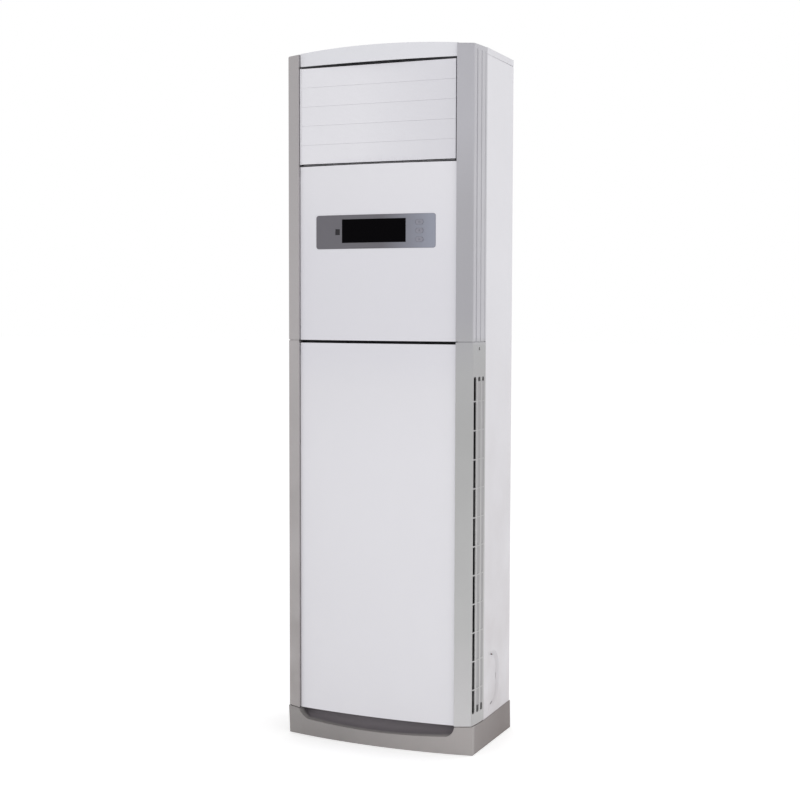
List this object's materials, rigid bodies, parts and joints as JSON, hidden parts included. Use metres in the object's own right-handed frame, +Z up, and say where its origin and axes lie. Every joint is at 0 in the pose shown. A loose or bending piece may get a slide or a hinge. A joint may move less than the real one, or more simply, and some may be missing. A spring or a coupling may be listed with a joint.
{
  "type": "floor standing air conditioner",
  "caption": "Tall white cabinet air conditioner with a bowed front, swinging outlet louvres, a grey control plate with keys, side intake grilles and a hinged lower panel.",
  "frame": {"origin": "on the floor, at the bottom centre of the bounding box", "axes": "+Z up along the cabinet's height, -Y towards the front with the louvres, +X to the right seen from the front"},
  "size_m": [0.523, 0.3088, 1.76],
  "materials": {
    "panel_white": "satin white paint on sheet steel",
    "fascia_white": "glossy white moulding",
    "louver_white": "glossy white blades",
    "trim_grey": "light grey moulding, satin",
    "plinth_grey": "warm grey moulding",
    "plate_grey": "silver grey lacquer",
    "window_black": "smoked glossy window",
    "button_grey": "light silver keys",
    "dark_plastic": "black moulding",
    "duct_dark": "dark grey moulding",
    "foam_white": "expanded foam",
    "galvanised": "zinc coated sheet",
    "fin_aluminium": "bare fin stock",
    "copper": "drawn copper tube",
    "pan_white": "drain pan moulding",
    "hose_grey": "flexible hose",
    "motor_steel": "grey enamel",
    "board_green": "circuit board",
    "mesh_dark": "fine filter net",
    "zinc_screw": "zinc plated steel"
  },
  "bodies": {
    "cabinet": {"base_plinth": "plinth_grey", "base_pan": "galvanised", "rear_panel": "galvanised", "left_side_panel": "panel_white", "right_side_panel": "panel_white", "top_cover": "panel_white", "top_fascia": "fascia_white", "left_trim_upper": "trim_grey", "right_trim_upper": "trim_grey", "left_trim_lower": "trim_grey", "right_trim_lower": "trim_grey", "left_frame_post": "galvanised", "right_frame_post": "galvanised", "cross_rail": "dark_plastic", "mid_front_panel": "panel_white", "hinge_brackets": "galvanised", "control_fascia": "plate_grey", "display_window": "window_black", "receiver_window": "window_black", "control_board": "board_green", "outlet_frame": "duct_dark", "louver_motor": "motor_steel", "vane_motor": "motor_steel", "duct_liner": "foam_white", "evaporator_fins": "fin_aluminium", "left_coil_end": "copper", "right_coil_end": "copper", "drain_pan": "pan_white", "drain_hose": "hose_grey", "divider_plate": "galvanised", "fan_housing": "galvanised", "bell_mouth": "galvanised", "fan_motor": "motor_steel", "electrical_box": "galvanised", "main_board": "board_green", "left_filter": "mesh_dark", "right_filter": "mesh_dark", "gas_pipe": "copper", "liquid_pipe": "copper", "wall_bracket": "galvanised", "case_screws": "zinc_screw"},
    "lower_door": {"lower_front_panel": "panel_white"},
    "fan_rotor": {"fan_wheel": "galvanised"},
    "power_key": {"power_button": "button_grey"},
    "mode_key": {"mode_button": "button_grey"},
    "fan_speed_key": {"fan_speed_button": "button_grey"},
    "louver_link_body": {"louver_link": "dark_plastic"},
    "louver_crank_body": {"louver_crank": "dark_plastic"},
    "vane_link_body": {"vane_link": "dark_plastic"},
    "louver_1": {"louver_blade_1": "louver_white"},
    "louver_2": {"louver_blade_2": "louver_white"},
    "louver_3": {"louver_blade_3": "louver_white"},
    "louver_4": {"louver_blade_4": "louver_white"},
    "louver_5": {"louver_blade_5": "louver_white"},
    "vane_1": {"air_vane_1": "duct_dark"},
    "vane_2": {"air_vane_2": "duct_dark"},
    "vane_3": {"air_vane_3": "duct_dark"},
    "vane_4": {"air_vane_4": "duct_dark"},
    "vane_5": {"air_vane_5": "duct_dark"},
    "vane_6": {"air_vane_6": "duct_dark"}
  },
  "joints": [
    {"name": "louver_open", "type": "hinge", "parent": "cabinet", "child": "louver_1", "pos_m": [0, -0.135, 1.68953], "axis": [-1, 0, 0], "range_deg": [0, 90]},
    {"name": "louver_2_open", "type": "hinge", "parent": "cabinet", "child": "louver_2", "pos_m": [0, -0.135, 1.64159], "axis": [-1, 0, 0], "range_deg": [0, 90]},
    {"name": "louver_3_open", "type": "hinge", "parent": "cabinet", "child": "louver_3", "pos_m": [0, -0.135, 1.59365], "axis": [-1, 0, 0], "range_deg": [0, 90]},
    {"name": "louver_4_open", "type": "hinge", "parent": "cabinet", "child": "louver_4", "pos_m": [0, -0.135, 1.54571], "axis": [-1, 0, 0], "range_deg": [0, 90]},
    {"name": "louver_5_open", "type": "hinge", "parent": "cabinet", "child": "louver_5", "pos_m": [0, -0.135, 1.49777], "axis": [-1, 0, 0], "range_deg": [0, 90]},
    {"name": "louver_link_swing", "type": "hinge", "parent": "louver_1", "child": "louver_link_body", "pos_m": [0.2196, -0.117, 1.68953], "axis": [-1, 0, 0], "range_deg": [-90, 0]},
    {"name": "louver_crank_turn", "type": "hinge", "parent": "cabinet", "child": "louver_crank_body", "pos_m": [0.2224, -0.115, 1.56968], "axis": [-1, 0, 0], "range_deg": [0, 90]},
    {"name": "vane_swing", "type": "hinge", "parent": "cabinet", "child": "vane_1", "pos_m": [-0.165, -0.08, 1.595], "axis": [0, 0, 1], "range_deg": [-30, 30]},
    {"name": "vane_2_swing", "type": "hinge", "parent": "cabinet", "child": "vane_2", "pos_m": [-0.099, -0.08, 1.595], "axis": [0, 0, 1], "range_deg": [-30, 30]},
    {"name": "vane_3_swing", "type": "hinge", "parent": "cabinet", "child": "vane_3", "pos_m": [-0.033, -0.08, 1.595], "axis": [0, 0, 1], "range_deg": [-30, 30]},
    {"name": "vane_4_swing", "type": "hinge", "parent": "cabinet", "child": "vane_4", "pos_m": [0.033, -0.08, 1.595], "axis": [0, 0, 1], "range_deg": [-30, 30]},
    {"name": "vane_5_swing", "type": "hinge", "parent": "cabinet", "child": "vane_5", "pos_m": [0.099, -0.08, 1.595], "axis": [0, 0, 1], "range_deg": [-30, 30]},
    {"name": "vane_6_swing", "type": "hinge", "parent": "cabinet", "child": "vane_6", "pos_m": [0.165, -0.08, 1.595], "axis": [0, 0, 1], "range_deg": [-30, 30]},
    {"name": "vane_link_swing", "type": "hinge", "parent": "vane_1", "child": "vane_link_body", "pos_m": [-0.165, -0.062, 1.474], "axis": [0, 0, 1], "range_deg": [-30, 30]},
    {"name": "fan_spin", "type": "hinge", "parent": "cabinet", "child": "fan_rotor", "pos_m": [-0.01798, 0, 0.29714], "axis": [0, 1, 0], "continuous": true},
    {"name": "power_press", "type": "slide", "parent": "cabinet", "child": "power_key", "axis": [0, 1, 0], "range_m": [0, 0.001], "stiffness_N_per_m": 300, "springref_m": -0.001},
    {"name": "mode_press", "type": "slide", "parent": "cabinet", "child": "mode_key", "axis": [0, 1, 0], "range_m": [0, 0.001], "stiffness_N_per_m": 300, "springref_m": -0.001},
    {"name": "fan_speed_press", "type": "slide", "parent": "cabinet", "child": "fan_speed_key", "axis": [0, 1, 0], "range_m": [0, 0.001], "stiffness_N_per_m": 300, "springref_m": -0.001},
    {"name": "lower_door_open", "type": "hinge", "parent": "cabinet", "child": "lower_door", "pos_m": [0, -0.1346, 1.01], "axis": [-1, 0, 0], "range_deg": [0, 22]}
  ],
  "couplings": [
    {"joint": "louver_2_open", "follows": "louver_open", "ratio": 1},
    {"joint": "louver_3_open", "follows": "louver_open", "ratio": 1},
    {"joint": "louver_4_open", "follows": "louver_open", "ratio": 1},
    {"joint": "louver_5_open", "follows": "louver_open", "ratio": 1},
    {"joint": "louver_link_swing", "follows": "louver_open", "ratio": -1},
    {"joint": "louver_crank_turn", "follows": "louver_open", "ratio": 1},
    {"joint": "vane_2_swing", "follows": "vane_swing", "ratio": 1},
    {"joint": "vane_3_swing", "follows": "vane_swing", "ratio": 1},
    {"joint": "vane_4_swing", "follows": "vane_swing", "ratio": 1},
    {"joint": "vane_5_swing", "follows": "vane_swing", "ratio": 1},
    {"joint": "vane_6_swing", "follows": "vane_swing", "ratio": 1},
    {"joint": "vane_link_swing", "follows": "vane_swing", "ratio": -1}
  ]
}
